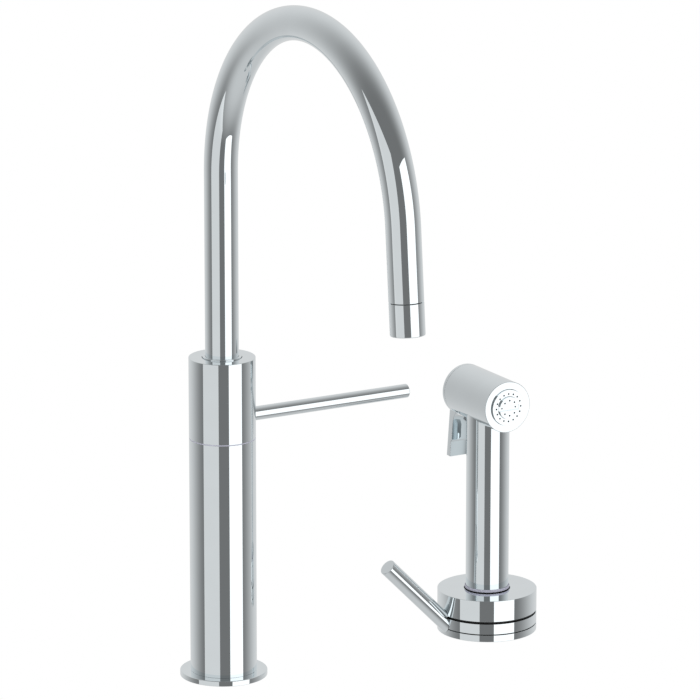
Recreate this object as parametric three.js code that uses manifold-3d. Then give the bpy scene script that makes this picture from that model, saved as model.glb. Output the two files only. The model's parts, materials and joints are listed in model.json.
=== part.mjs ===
// Kitchen faucet set: a tall single-lever mixer with a swivelling gooseneck spout, and a separate
// side hand spray that stands in its own deck base. Millimetres, +Z up. The origin is on the deck,
// on the mixer's axis. The spout points along -Y and the hand spray stands at +X.
import * as THREE from "three";
import { mergeVertices } from "three/addons/utils/BufferGeometryUtils.js";
import Module from "manifold-3d";

const wasm = await Module();
wasm.setup();

// ---------------------------------------------------------------- driving dimensions
const GAP = 0.3; // clearance between pieces that touch on the real object
const DECK = 28; // thickness of the deck that the shanks clamp
const SHANK_DROP = 60; // how far both threaded shanks reach below the deck

const BODY_R = 25;
const BODY_WALL = 3;
const BODY_TOP = 247;
const FLANGE_R = 32.9;
const FLANGE_H = 4;
const SEAM_Z = 185; // joint between the fixed lower body and the turning sleeve
const SEAM_HALF = 0.5; // half the height of that joint's gap
const GLIDE_HALF = 0.2; // half the thickness of the glide ring that lies in it
const JOURNAL_R = BODY_R - BODY_WALL - 0.4; // inner pieces that guide or fill the body tubes

const TUBE_R = 12.57;
const TUBE_WALL = 1.5;
const LEG_TOP = 388; // where the straight riser ends and the bend begins
const BEND_R = 133.1;
const BEND_DEG = 175;
const END_LEG = 75.45; // straight stretch after the bend, aerator included
const AERATOR_LEN = 24.1;
const SPOUT_START = 240.8;

const LEVER_Z = 199.5;
const LEVER_R = 5.23;
const LEVER_TIP = 159.3;
const LEVER_PIVOT_X = 14;
const LEVER_LIFT_DEG = 20;

const SPRAY_X = 231.8; // distance between the two deck holes
const SPRAY_R = 38.3;
const BASE_RING_H = 5.3;
const RING_Z0 = BASE_RING_H + GAP;
const RING_Z1 = 14.3;
const COVER_Z0 = 15.9;
const COVER_TOP = 32.66;
const RING_LEVER_R = 6.44;
const RING_LEVER_Z = 11.1; // height at which the lever's axis leaves the ring
const RING_LEVER_TILT_DEG = 45.1;
const RING_LEVER_LEN = 72;

const HANDLE_R = 16.51;
const HANDLE_BOTTOM = 12.8;
const HEAD_R = 19.87;
const HEAD_Z = 183.26;
const HEAD_FRONT = 28.58;
const HEAD_REAR = 35.55;
const HEAD_WALL = 2.27;
const NOZZLE_PROUD = 1.5; // how far the spray plate stands out of the head's front face
const CENTRE_PROUD = 1.6; // and the centre nozzle out of the spray plate

const TRIGGER_HALF_W = 15;
const TRIGGER_PIVOT_Y = 23.5;
const TRIGGER_PIVOT_Z = 170.8;
const TRIGGER_ARM_HALF_W = 4.6;

// facets of round pieces, by how large the piece is
const FINE = 28;
const MID = 20;
const SMALL = 12;
const TINY = 8;

// ---------------------------------------------------------------- materials
const finishes = {
  chrome: { color: 0xd4d9db, roughness: 0.06, metalness: 1 },
  brass: { color: 0xb8924a, roughness: 0.35, metalness: 1 },
  steel: { color: 0xa9abad, roughness: 0.35, metalness: 1 },
  copper: { color: 0xb87348, roughness: 0.35, metalness: 1 },
  rubber: { color: 0x141414, roughness: 0.8, metalness: 0 },
  blackPlastic: { color: 0x0c0d0e, roughness: 0.45, metalness: 0 },
  palePlastic: { color: 0xb9bac8, roughness: 0.4, metalness: 0 },
  greyPlastic: { color: 0x8d9092, roughness: 0.5, metalness: 0 },
  ceramic: { color: 0xe8e6df, roughness: 0.25, metalness: 0 },
};

// ---------------------------------------------------------------- geometry helpers
const rad = THREE.MathUtils.degToRad;

// Merges shared corners, drops the slivers that a profile's axis points leave, faces outwards.
function closed(geometry) {
  const bare = geometry.clone();
  bare.deleteAttribute("normal");
  bare.deleteAttribute("uv");
  const merged = mergeVertices(bare, 1e-4);
  const kept = [];
  const source = merged.index.array;
  for (let i = 0; i < source.length; i += 3) {
    const [a, b, c] = [source[i], source[i + 1], source[i + 2]];
    if (a !== b && b !== c && c !== a) kept.push(a, b, c);
  }
  merged.setIndex(kept);
  if (signedVolume(merged) < 0) merged.setIndex(kept.reverse());
  return merged;
}

function signedVolume(geometry) {
  const position = geometry.attributes.position;
  const index = geometry.index.array;
  const corner = [new THREE.Vector3(), new THREE.Vector3(), new THREE.Vector3()];
  let sum = 0;
  for (let i = 0; i < index.length; i += 3) {
    corner.forEach((point, k) => point.fromBufferAttribute(position, index[i + k]));
    sum += corner[0].dot(corner[1].clone().cross(corner[2])) / 6;
  }
  return sum;
}

function toSolid(geometry) {
  const ready = closed(geometry);
  return new wasm.Manifold(new wasm.Mesh({
    numProp: 3,
    vertProperties: new Float32Array(ready.attributes.position.array),
    triVerts: new Uint32Array(ready.index.array),
  }));
}

function toGeometry(solid) {
  const mesh = solid.getMesh();
  const geometry = new THREE.BufferGeometry();
  geometry.setAttribute("position", new THREE.BufferAttribute(mesh.vertProperties, mesh.numProp));
  geometry.setIndex(new THREE.BufferAttribute(mesh.triVerts, 1));
  return geometry;
}

function join(first, ...others) {
  return toGeometry(others.reduce((sum, other) => sum.add(toSolid(other)), toSolid(first)));
}

function cut(first, ...tools) {
  return toGeometry(tools.reduce((rest, tool) => rest.subtract(toSolid(tool)), toSolid(first)));
}

// Revolves [radius, height] points about Z. The profile closes on itself, or starts and ends on Z.
function turned(points, segments = MID) {
  const onAxis = points[0][0] === 0 && points.at(-1)[0] === 0;
  const loop = onAxis ? points : [...points, points[0]];
  const profile = loop.map(([r, z]) => new THREE.Vector2(r, z));
  return closed(new THREE.LatheGeometry(profile, segments).rotateX(Math.PI / 2));
}

function ring(inner, outer, z0, z1, segments = MID) {
  return turned([[inner, z0], [outer, z0], [outer, z1], [inner, z1]], segments);
}

function rod(radius, z0, z1, segments = SMALL) {
  return turned([[0, z0], [radius, z0], [radius, z1], [0, z1]], segments);
}

function box(x0, x1, y0, y1, z0, z1) {
  const geometry = new THREE.BoxGeometry(x1 - x0, y1 - y0, z1 - z0);
  return geometry.translate((x0 + x1) / 2, (y0 + y1) / 2, (z0 + z1) / 2);
}

const alongX = (geometry) => geometry.rotateY(Math.PI / 2); // +Z of the piece becomes +X
const alongY = (geometry) => geometry.rotateX(-Math.PI / 2); // +Z of the piece becomes +Y

function circleHole(x, y, radius) {
  const hole = new THREE.Path();
  hole.absarc(x, y, radius, 0, 2 * Math.PI, true);
  return hole;
}

function plate(shape, z0, z1, curveSegments) {
  const options = { depth: z1 - z0, bevelEnabled: false, curveSegments };
  return closed(new THREE.ExtrudeGeometry(shape, options).translate(0, 0, z0));
}

function polygon(radius, sides) {
  return Array.from({ length: sides }, (_, i) => {
    const angle = (2 * Math.PI * i) / sides;
    return new THREE.Vector2(radius * Math.cos(angle), radius * Math.sin(angle));
  });
}

function hexNut(acrossCorners, hole, z0, z1) {
  const shape = new THREE.Shape(polygon(acrossCorners / 2, 6));
  shape.holes.push(circleHole(0, 0, hole));
  return plate(shape, z0, z1, TINY);
}

// A slot that follows a circle: the outline between two radii over an angle, in degrees.
function arcOutline(inner, outer, from, to) {
  const shape = new THREE.Shape();
  shape.absarc(0, 0, outer, rad(from), rad(to), false);
  shape.absarc(0, 0, inner, rad(to), rad(from), true);
  shape.closePath();
  return shape;
}

function piece(name, finish, geometry) {
  const mesh = new THREE.Mesh(geometry, new THREE.MeshStandardMaterial(finishes[finish]));
  mesh.name = name;
  return mesh;
}

// ---------------------------------------------------------------- deck mounting
// A shank through the deck with its washers and nut: the same set for the mixer and the spray.
function deckClamp(prefix, shankR) {
  const hole = shankR + 0.5;
  const rubber0 = -DECK - 3;
  const steel0 = rubber0 - GAP - 2;
  const nut0 = steel0 - GAP - 8;
  return [
    piece(`${prefix}_rubber_washer`, "rubber", ring(hole, shankR + 11, rubber0, -DECK)),
    piece(`${prefix}_clamp_washer`, "steel", ring(hole, shankR + 12, steel0, rubber0 - GAP)),
    piece(`${prefix}_nut`, "brass", hexNut(2 * (shankR + 10), hole, nut0, steel0 - GAP)),
  ];
}

// An open groove under a flange holds its sealing ring, flush with the deck.
const GROOVE_H = 1.6;
const SEAL_H = 1.3;

// ---------------------------------------------------------------- mixer, fixed pieces
function baseFlange() {
  const grooveIn = 25.5;
  const grooveOut = 29.5;
  const holeR = 18;
  const spigotTop = 14;
  return turned([
    [holeR, 0], [grooveIn, 0], [grooveIn, GROOVE_H], [grooveOut, GROOVE_H], [grooveOut, 0],
    [FLANGE_R, 0], [FLANGE_R, FLANGE_H - 0.5], [FLANGE_R - 0.5, FLANGE_H],
    [JOURNAL_R, FLANGE_H], [JOURNAL_R, spigotTop], [holeR, spigotTop],
  ], FINE);
}

function mountingShank() {
  const collarZ = 14.4;
  return turned([
    [13, -SHANK_DROP], [15.4, -SHANK_DROP], [16, -SHANK_DROP + 0.6], [16, collarZ],
    [JOURNAL_R, collarZ], [JOURNAL_R, 24], [13, 24],
  ], MID);
}

const INLET_Y = 7.6;
const INLET_R = 4;
const INLET_BOTTOM = -88;

function inletTube(side) {
  return ring(INLET_R - 1, INLET_R, INLET_BOTTOM + 4, 151, TINY).translate(0, side * INLET_Y, 0);
}

function inletFitting(side) {
  const nut = hexNut(13.6, INLET_R + GAP, -76, -66);
  const tail = ring(INLET_R + GAP, 6.2, INLET_BOTTOM, -75, TINY);
  return join(nut, tail).translate(0, side * INLET_Y, 0);
}

const RISER_X = -12.5; // fixed water column that reaches the spout past the turning lever
const SOCKET_Z0 = 217.3;
const SOCKET_FLOOR = 219;
const SOCKET_TOP = 243.3;
const SOCKET_R = TUBE_R + 0.38;
const CLIP_Z = 236;
const CLIP_GROOVE_H = 2.4;
const POCKET_R = 12.3;
const POCKET_FLOOR = 152;
const VALVE_BOTTOM = 140;
const VALVE_TOP = 187.5;

// The brass core: cartridge pocket, fixed riser beside the lever mechanism, and the spout socket.
function valveBody() {
  const solid = join(
    rod(JOURNAL_R, VALVE_BOTTOM, VALVE_TOP, FINE),
    rod(5, VALVE_TOP - 8, SOCKET_FLOOR).translate(RISER_X, 0, 0),
    rod(JOURNAL_R, SOCKET_Z0, SOCKET_TOP, FINE),
  );
  return cut(
    solid,
    rod(POCKET_R, POCKET_FLOOR, VALVE_TOP + 0.5, MID),
    rod(SOCKET_R, SOCKET_FLOOR, SOCKET_TOP + 1, MID),
    rod(SOCKET_R + 1.5, CLIP_Z, CLIP_Z + CLIP_GROOVE_H, MID),
    rod(3, POCKET_FLOOR + 8, SOCKET_FLOOR + 2, TINY).translate(RISER_X, 0, 0),
    rod(INLET_R + 0.6, VALVE_BOTTOM - 1, POCKET_FLOOR + 1, TINY).translate(0, INLET_Y, 0),
    rod(INLET_R + 0.6, VALVE_BOTTOM - 1, POCKET_FLOOR + 1, TINY).translate(0, -INLET_Y, 0),
  );
}

function mixingCartridge() {
  const top = 182.6;
  const boreFloor = 160;
  return turned([
    [0, POCKET_FLOOR + GAP], [POCKET_R - GAP, POCKET_FLOOR + GAP], [POCKET_R - GAP, top],
    [4, top], [4, boreFloor], [0, boreFloor],
  ], SMALL);
}

function retainingClip() {
  const outline = arcOutline(TUBE_R - 0.9, SOCKET_R + 1.1, 20, 340);
  return plate(outline, CLIP_Z + GAP, CLIP_Z + CLIP_GROOVE_H - GAP, SMALL / 2);
}

// ---------------------------------------------------------------- mixer, turning sleeve
const COLLAR_R = 14.75;

function mixerSleeve() {
  const inner = BODY_R - BODY_WALL;
  const roof = 243.9;
  const shell = turned([
    [inner, SEAM_Z + SEAM_HALF], [BODY_R, SEAM_Z + SEAM_HALF], [BODY_R, BODY_TOP - 0.5],
    [BODY_R - 0.5, BODY_TOP], [COLLAR_R + 0.45, BODY_TOP], [COLLAR_R + 0.45, roof], [inner, roof],
  ], FINE);
  const half = LEVER_R + 0.4;
  const reach = BODY_R + 1 - LEVER_PIVOT_X;
  const rise = reach * Math.tan(rad(LEVER_LIFT_DEG)) + 0.4;
  const slot = box(BODY_R - 8, BODY_R + 3, -half, half, LEVER_Z, LEVER_Z + rise);
  const low = alongX(rod(half, BODY_R - 8, BODY_R + 3)).translate(0, 0, LEVER_Z);
  const high = alongX(rod(half, BODY_R - 8, BODY_R + 3)).translate(0, 0, LEVER_Z + rise);
  return cut(shell, slot, low, high);
}

const EAR_IN = 5.7;
const EAR_OUT = 9.7;
const CARRIER_Z = 209.8;

function leverCarrier() {
  const body = join(
    ring(18.5, JOURNAL_R, CARRIER_Z, CARRIER_Z + 5, MID),
    box(9.5, 18.9, -EAR_OUT, EAR_OUT, CARRIER_Z, CARRIER_Z + 5),
    box(10.5, 17.5, EAR_IN, EAR_OUT, 195.5, CARRIER_Z + 1),
    box(10.5, 17.5, -EAR_OUT, -EAR_IN, 195.5, CARRIER_Z + 1),
  );
  const pinHole = alongY(rod(2.3, -BODY_R, BODY_R, TINY)).translate(LEVER_PIVOT_X, 0, LEVER_Z);
  return cut(body, pinHole);
}

function leverPivotPin() {
  return alongY(rod(2, -EAR_OUT + 0.2, EAR_OUT - 0.2, TINY)).translate(LEVER_PIVOT_X, 0, LEVER_Z);
}

const HUB_END = 18.6;

// Pivot block with a ball end that drives the spindle and a stud that carries the lever.
function leverHub() {
  const ball = new THREE.SphereGeometry(2.9, TINY, TINY / 2);
  const body = join(
    alongX(rod(5, 8.5, HUB_END)),
    alongX(rod(1.8, 0, 9, TINY)),
    alongX(rod(2.5, HUB_END - 1, 26, TINY)),
    ball,
  );
  const pinHole = alongY(rod(2.3, -10, 10, TINY)).translate(LEVER_PIVOT_X, 0, 0);
  return cut(body, pinHole).translate(0, 0, LEVER_Z);
}

function leverRod() {
  const root = HUB_END + 0.4;
  return alongX(turned([
    [0, 27], [2.85, 27], [2.85, root], [LEVER_R, root],
    [LEVER_R, LEVER_TIP - 0.5], [LEVER_R - 0.5, LEVER_TIP], [0, LEVER_TIP],
  ], MID)).translate(0, 0, LEVER_Z);
}

function cartridgeSpindle() {
  const headHalf = 6;
  const body = join(
    rod(3.5, 170, LEVER_Z - headHalf + 1, TINY),
    box(-3.5, 3.5, -headHalf, headHalf, LEVER_Z - headHalf, LEVER_Z + headHalf),
  );
  return cut(body, alongX(rod(3.4, -5, 5)).translate(0, 0, LEVER_Z));
}

// ---------------------------------------------------------------- spout
const ORING_Z = [224, 230];
const ORING_H = 2.6;

function spoutFoot() {
  const bore = 8;
  const grooveR = 10.4;
  const bottom = 221;
  const top = SPOUT_START - GAP;
  const grooves = ORING_Z.flatMap((z) => [
    [TUBE_R, z], [grooveR, z], [grooveR, z + ORING_H], [TUBE_R, z + ORING_H],
  ]);
  const clipFloor = TUBE_R - 1.3;
  return turned([
    [bore, bottom], [TUBE_R - 0.5, bottom], [TUBE_R, bottom + 0.5], ...grooves,
    [TUBE_R, CLIP_Z - 0.2], [clipFloor, CLIP_Z - 0.2], [clipFloor, CLIP_Z + CLIP_GROOVE_H],
    [TUBE_R, CLIP_Z + CLIP_GROOVE_H], [TUBE_R, top], [bore, top],
  ], MID);
}

// Riser, bend and end leg as one line. Each straight is one step, the bend one step per 5 degrees.
class GooseneckCurve extends THREE.Curve {
  constructor() {
    super();
    this.bendSteps = BEND_DEG / 5;
    this.steps = this.bendSteps + 2;
  }

  bendAngle(u) {
    const step = u * this.steps - 1;
    return rad((BEND_DEG * THREE.MathUtils.clamp(step, 0, this.bendSteps)) / this.bendSteps);
  }

  getPointAt(u, target = new THREE.Vector3()) {
    const step = u * this.steps;
    const angle = this.bendAngle(u);
    target.set(0, -BEND_R * (1 - Math.cos(angle)), LEG_TOP + BEND_R * Math.sin(angle));
    if (step < 1) target.z -= (1 - step) * (LEG_TOP - SPOUT_START);
    const beyond = Math.max(0, step - this.bendSteps - 1) * (END_LEG - AERATOR_LEN);
    return target.addScaledVector(this.getTangentAt(u), beyond);
  }

  getTangentAt(u, target = new THREE.Vector3()) {
    const angle = this.bendAngle(u);
    return target.set(0, -Math.sin(angle), Math.cos(angle));
  }

  getPoint(u, target) {
    return this.getPointAt(u, target);
  }
}

const spoutLine = new GooseneckCurve();

function spoutTube() {
  const section = new THREE.Shape(polygon(TUBE_R, MID));
  section.holes.push(new THREE.Path(polygon(TUBE_R - TUBE_WALL, SMALL)));
  const options = { steps: spoutLine.steps, extrudePath: spoutLine };
  return closed(new THREE.ExtrudeGeometry(section, options));
}

// The outlet's pieces are drawn with the water's direction as +Z, from the end of the spout tube.
function outlet() {
  const group = new THREE.Group();
  group.position.copy(spoutLine.getPointAt(1));
  group.rotation.x = rad(BEND_DEG);
  const inner = 11;
  const lip = 9.9;
  group.add(
    piece("aerator_sleeve", "chrome", turned([
      [inner, 0.4], [TUBE_R, 0.4], [TUBE_R, AERATOR_LEN - 0.4], [TUBE_R - 0.4, AERATOR_LEN],
      [lip, AERATOR_LEN], [lip, AERATOR_LEN - 1.5], [inner, AERATOR_LEN - 1.5],
    ], MID)),
    piece("aerator_washer", "rubber", ring(8, inner - GAP, 0.4, 2.4, SMALL)),
    piece("aerator_insert", "greyPlastic", turned([
      [0, 6], [8.4, 6], [8.4, 2.7], [10.6, 2.7], [10.6, 22.3], [9.2, 22.3], [9.2, 12], [0, 12],
    ], SMALL)),
    piece("aerator_screen", "steel", rod(8.6, 20.2, 21.2)),
  );
  return group;
}

function glideRing() {
  return ring(22.4, BODY_R - 0.1, SEAM_Z - GLIDE_HALF, SEAM_Z + GLIDE_HALF, FINE);
}

function mixer() {
  const group = new THREE.Group();
  const shellIn = BODY_R - BODY_WALL;
  group.add(
    piece("base_flange", "chrome", baseFlange()),
    piece("deck_gasket", "rubber", ring(25.8, 29.2, 0, SEAL_H, FINE)),
    piece("lower_body_tube", "chrome", ring(shellIn, BODY_R, FLANGE_H + GAP, SEAM_Z - SEAM_HALF, FINE)),
    piece("mounting_shank", "brass", mountingShank()),
    ...deckClamp("deck", 16),
    piece("inlet_tube_hot", "copper", inletTube(-1)),
    piece("inlet_tube_cold", "copper", inletTube(1)),
    piece("inlet_fitting_hot", "brass", inletFitting(-1)),
    piece("inlet_fitting_cold", "brass", inletFitting(1)),
    piece("valve_body", "brass", valveBody()),
    piece("mixing_cartridge", "greyPlastic", mixingCartridge()),
    piece("cartridge_nut", "brass", ring(6.5, POCKET_R - GAP, 183, 186.6, SMALL)),
    piece("retaining_clip", "steel", retainingClip()),
    piece("glide_ring", "palePlastic", glideRing()),
    piece("mixer_sleeve", "chrome", mixerSleeve()),
    piece("lever_carrier", "brass", leverCarrier()),
    piece("lever_pivot_pin", "steel", leverPivotPin()),
    piece("lever_hub", "steel", leverHub()),
    piece("lever_rod", "chrome", leverRod()),
    piece("cartridge_spindle", "brass", cartridgeSpindle()),
    piece("spout_collar", "chrome", turned([
      [TUBE_R + 0.35, 243.8], [COLLAR_R, 243.8], [COLLAR_R, BODY_TOP + 0.5],
      [COLLAR_R - 0.4, BODY_TOP + 0.9], [TUBE_R + 0.35, BODY_TOP + 0.9],
    ], MID)),
    piece("spout_foot", "brass", spoutFoot()),
    piece("spout_tube", "chrome", spoutTube()),
    outlet(),
  );
  ORING_Z.forEach((z, i) => {
    const seal = ring(10.7, TUBE_R + 0.1, z + GAP, z + ORING_H - GAP, MID);
    group.add(piece(`spout_oring_${i + 1}`, "rubber", seal));
  });
  return group;
}

// ---------------------------------------------------------------- spray base
const STOP_PIN_AT = 33.5;

function sprayBaseRing() {
  const hole = 14.6;
  const seatR = 19.3;
  const seatZ = 2.4;
  const body = turned([
    [hole, 0], [26, 0], [26, GROOVE_H], [30, GROOVE_H], [30, 0], [SPRAY_R, 0],
    [SPRAY_R, BASE_RING_H], [seatR, BASE_RING_H], [seatR, seatZ], [hole, seatZ],
  ], FINE);
  return cut(body, rod(1.9, seatZ, BASE_RING_H + 1, TINY).translate(STOP_PIN_AT, 0, 0));
}

function sprayShank() {
  return turned([
    [11, -SHANK_DROP], [13.4, -SHANK_DROP], [14, -SHANK_DROP + 0.6], [14, 2.7],
    [19, 2.7], [19, BASE_RING_H], [11, BASE_RING_H],
  ], MID);
}

const CORE_R = 28.6;
const CORE_TOP = 29;
const CORE_BORE = 17.9;
const BUSH_BOTTOM = 10.3;
const BUSH_TOP = 34.4;

function sprayCore() {
  return turned([
    [11.3, RING_Z0], [CORE_R, RING_Z0], [CORE_R, 20], [34.6, 20], [34.6, CORE_TOP],
    [CORE_BORE, CORE_TOP], [CORE_BORE, BUSH_BOTTOM - GAP], [11.3, BUSH_BOTTOM - GAP],
  ], FINE);
}

function sprayTopCover() {
  const inner = 35;
  const roof = CORE_TOP + 0.4;
  const hole = CORE_BORE - 0.1;
  return turned([
    [inner, COVER_Z0], [SPRAY_R, COVER_Z0], [SPRAY_R, COVER_TOP - 0.4], [SPRAY_R - 0.4, COVER_TOP],
    [hole, COVER_TOP], [hole, roof], [inner, roof],
  ], FINE);
}

// Ceramic disc with two ports: the turning one slides over the fixed one to open the water way.
function valveDisc(z0, z1) {
  const shape = new THREE.Shape();
  shape.absarc(0, 0, 34.4, 0, 2 * Math.PI, false);
  shape.holes.push(circleHole(0, 0, CORE_R + 0.4));
  for (const start of [60, 240]) {
    shape.holes.push(new THREE.Path(arcOutline(30.8, 32.8, start, start + 40).getPoints(3)));
  }
  return plate(shape, z0, z1, FINE / 2);
}

// Where the ring's lever starts, and the turn that lays its own +Z along its axis.
function onRingLever(geometry) {
  const tilt = rad(90 - RING_LEVER_TILT_DEG);
  return geometry.rotateY(-tilt).translate(-SPRAY_R, 0, RING_LEVER_Z);
}

const STUD_DEPTH = 4;

function controlRing() {
  const body = ring(CORE_R + 0.35, SPRAY_R, RING_Z0, RING_Z1, FINE);
  const stopGroove = plate(arcOutline(31.5, 35.5, -94, 4), RING_Z0 - 1, 8.8, SMALL);
  const studHole = onRingLever(rod(2.9, -STUD_DEPTH - GAP, 6, TINY));
  return cut(body, stopGroove, studHole);
}

function controlLever() {
  const clear = SPRAY_R + GAP;
  const bar = onRingLever(turned([
    [0, -12], [RING_LEVER_R, -12], [RING_LEVER_R, RING_LEVER_LEN - 0.4],
    [RING_LEVER_R - 0.4, RING_LEVER_LEN], [0, RING_LEVER_LEN],
  ], MID));
  const trimmed = cut(bar, rod(clear, -20, 60, 2 * FINE));
  return join(trimmed, onRingLever(rod(2.55, -STUD_DEPTH, 8, TINY)));
}

function guideBush() {
  const bore = HANDLE_R + 0.35;
  const outer = 17.35;
  const shelf = BUSH_BOTTOM + 2;
  return turned([
    [13, BUSH_BOTTOM], [outer, BUSH_BOTTOM], [outer, BUSH_TOP - 0.25], [outer - 0.25, BUSH_TOP],
    [bore, BUSH_TOP], [bore, shelf], [13, shelf],
  ], FINE);
}

// ---------------------------------------------------------------- hand spray
function handsetTube() {
  const wall = ring(HANDLE_R - 2.2, HANDLE_R, HANDLE_BOTTOM, HEAD_Z - 4, FINE);
  const saddle = alongY(rod(HEAD_R + GAP, -30, 30, 2 * FINE)).translate(0, 0, HEAD_Z);
  return cut(wall, saddle);
}

function handsetEndPlug() {
  const plugR = HANDLE_R - 2.55;
  return turned([
    [4, -8], [6.5, -8], [6.5, 4], [9, 4], [9, HANDLE_BOTTOM],
    [plugR, HANDLE_BOTTOM], [plugR, 26], [6, 26], [6, 6], [4, 6],
  ], MID);
}

// The head's pieces are drawn with the spray's direction as +Z and the sky as +Y.
const SHELL_IN = HEAD_R - HEAD_WALL;
const FACE_HOLE = 14.2;
const PIVOT_DEPTH = TRIGGER_PIVOT_Z - HEAD_Z; // the trigger's pin, below the head's axis
const INSERT_REAR = -16;
const INSERT_FRONT = 25.9;
const SEAT_Z = 9; // valve seat that the plunger closes

function sprayHead() {
  const rear = -HEAD_REAR + 3.75;
  const shell = turned([
    [SHELL_IN, rear], [HEAD_R, rear], [HEAD_R, HEAD_FRONT - 0.5], [HEAD_R - 0.5, HEAD_FRONT],
    [FACE_HOLE, HEAD_FRONT], [FACE_HOLE, HEAD_FRONT - 2.4], [SHELL_IN, HEAD_FRONT - 2.4],
  ], FINE);
  const stemHole = rod(8, -HEAD_R - 2, -HEAD_R / 2).rotateX(-Math.PI / 2);
  const half = TRIGGER_ARM_HALF_W + 0.4;
  const triggerSlot = box(-half, half, -HEAD_R - 2, -HEAD_R / 2, -28, -18.9);
  return cut(shell, stemHole, triggerSlot);
}

function rearCap() {
  const face = -HEAD_REAR;
  const edge = 1.2;
  return turned([
    [0, face], [HEAD_R - edge, face], [HEAD_R - 0.35 * edge, face + 0.35 * edge],
    [HEAD_R, face + edge], [HEAD_R, face + 3.45], [0, face + 3.45],
  ], FINE);
}

function headInsert() {
  const ear = (side) => {
    const x = [side * 5, side * 9].sort((a, b) => a - b);
    return box(x[0], x[1], -14.7, -7, -27.5, INSERT_REAR + 1);
  };
  const body = join(rod(SHELL_IN - 0.4, INSERT_REAR, INSERT_FRONT, MID), ear(1), ear(-1));
  const pinHole = alongX(rod(1.9, -12, 12, TINY)).translate(0, PIVOT_DEPTH, -TRIGGER_PIVOT_Y);
  return cut(
    body,
    rod(12.6, 15, INSERT_FRONT + 1, SMALL),
    rod(5.2, INSERT_REAR + 2.4, SEAT_Z, SMALL),
    rod(2.4, INSERT_REAR - 1, 16, TINY),
    rod(6.2, -HEAD_R, -3, TINY).rotateX(-Math.PI / 2),
    pinHole,
  );
}

const PLATE_BACK = HEAD_FRONT - 2.4;
const PLATE_FACE = HEAD_FRONT + NOZZLE_PROUD;
const PLATE_R = FACE_HOLE - GAP;
const CENTRE_R = 8.75;
const CENTRE_FACE = PLATE_FACE + CENTRE_PROUD;
const OUTER_JETS = { count: 16, radius: 10.8 };
const INNER_JETS = { count: 8, radius: 5.95 };
const JET_R = 0.65;
const SLOT_HALF_W = 1.85;

// Square-ended jet holes on a circle, right through both nozzle discs.
function jetDrills({ count, radius }) {
  return polygon(radius, count).map((centre) => {
    return rod(JET_R, PLATE_BACK - 1, CENTRE_FACE + 1, 5).translate(centre.x, centre.y, 0);
  });
}

function sprayPlate() {
  const disc = ring(CENTRE_R + GAP, PLATE_R, PLATE_BACK, PLATE_FACE, MID);
  return cut(disc, ...jetDrills(OUTER_JETS));
}

function centreNozzle() {
  const disc = rod(CENTRE_R, PLATE_BACK, CENTRE_FACE, MID);
  const reach = CENTRE_R + 1;
  const slot = box(-reach, reach, -SLOT_HALF_W, SLOT_HALF_W, PLATE_FACE, CENTRE_FACE + 1);
  return cut(disc, slot, ...jetDrills(INNER_JETS));
}

const YOKE_Z = -23.5; // front face of the plunger's yoke disc
const POPPET_Z = 5.5;

function sprayPlunger() {
  return turned([
    [0, YOKE_Z - 1.5], [4, YOKE_Z - 1.5], [4, YOKE_Z], [2, YOKE_Z],
    [2, POPPET_Z], [4.5, POPPET_Z], [4.5, POPPET_Z + 1.6], [0, POPPET_Z + 1.6],
  ], TINY);
}

// Compression spring round the plunger's stem: a helix of fixed radius.
class HelixCurve extends THREE.Curve {
  getPoint(t, target = new THREE.Vector3()) {
    const turns = 7;
    const radius = 3.6;
    const start = INSERT_REAR + 3.3;
    const length = POPPET_Z - 0.8 - start;
    const angle = 2 * Math.PI * turns * t;
    return target.set(radius * Math.cos(angle), radius * Math.sin(angle), start + length * t);
  }
}

function plungerSpring() {
  const wire = new THREE.Shape();
  wire.absarc(0, 0, 0.45, 0, 2 * Math.PI, false);
  const options = { steps: 63, extrudePath: new HelixCurve(), curveSegments: 2 };
  return closed(new THREE.ExtrudeGeometry(wire, options));
}

function head() {
  const group = new THREE.Group();
  group.position.z = HEAD_Z;
  group.rotation.x = Math.PI / 2;
  const pin = alongX(rod(1.6, -8.8, 8.8, TINY)).translate(0, PIVOT_DEPTH, -TRIGGER_PIVOT_Y);
  group.add(
    piece("spray_head", "chrome", sprayHead()),
    piece("rear_cap", "chrome", rearCap()),
    piece("head_insert", "greyPlastic", headInsert()),
    piece("spray_plate", "chrome", sprayPlate()),
    piece("centre_nozzle", "chrome", centreNozzle()),
    piece("trigger_pin", "steel", pin),
    piece("plunger_spring", "steel", plungerSpring()),
    piece("spray_plunger", "brass", sprayPlunger()),
    piece("plunger_seal", "rubber", rod(4.4, POPPET_Z + 1.9, SEAT_Z - GAP, TINY)),
  );
  return group;
}

// The trigger's side view, [distance behind the handle's axis, height], drawn once round.
function triggerPlate() {
  const bottom = 131.8;
  const side = new THREE.Shape();
  side.moveTo(31.3, bottom);
  side.lineTo(36.5, bottom);
  side.lineTo(32.1, 169.5);
  side.lineTo(22.7, 169.5);
  side.quadraticCurveTo(27.9, 164, 29.3, 145);
  side.lineTo(30.6, 143.6);
  side.closePath();
  const options = { depth: 2 * TRIGGER_HALF_W, bevelEnabled: false, curveSegments: 5 };
  const slab = new THREE.ExtrudeGeometry(side, options).translate(0, 0, -TRIGGER_HALF_W);
  slab.rotateY(Math.PI / 2).rotateX(Math.PI / 2);
  return closed(slab);
}

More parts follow.
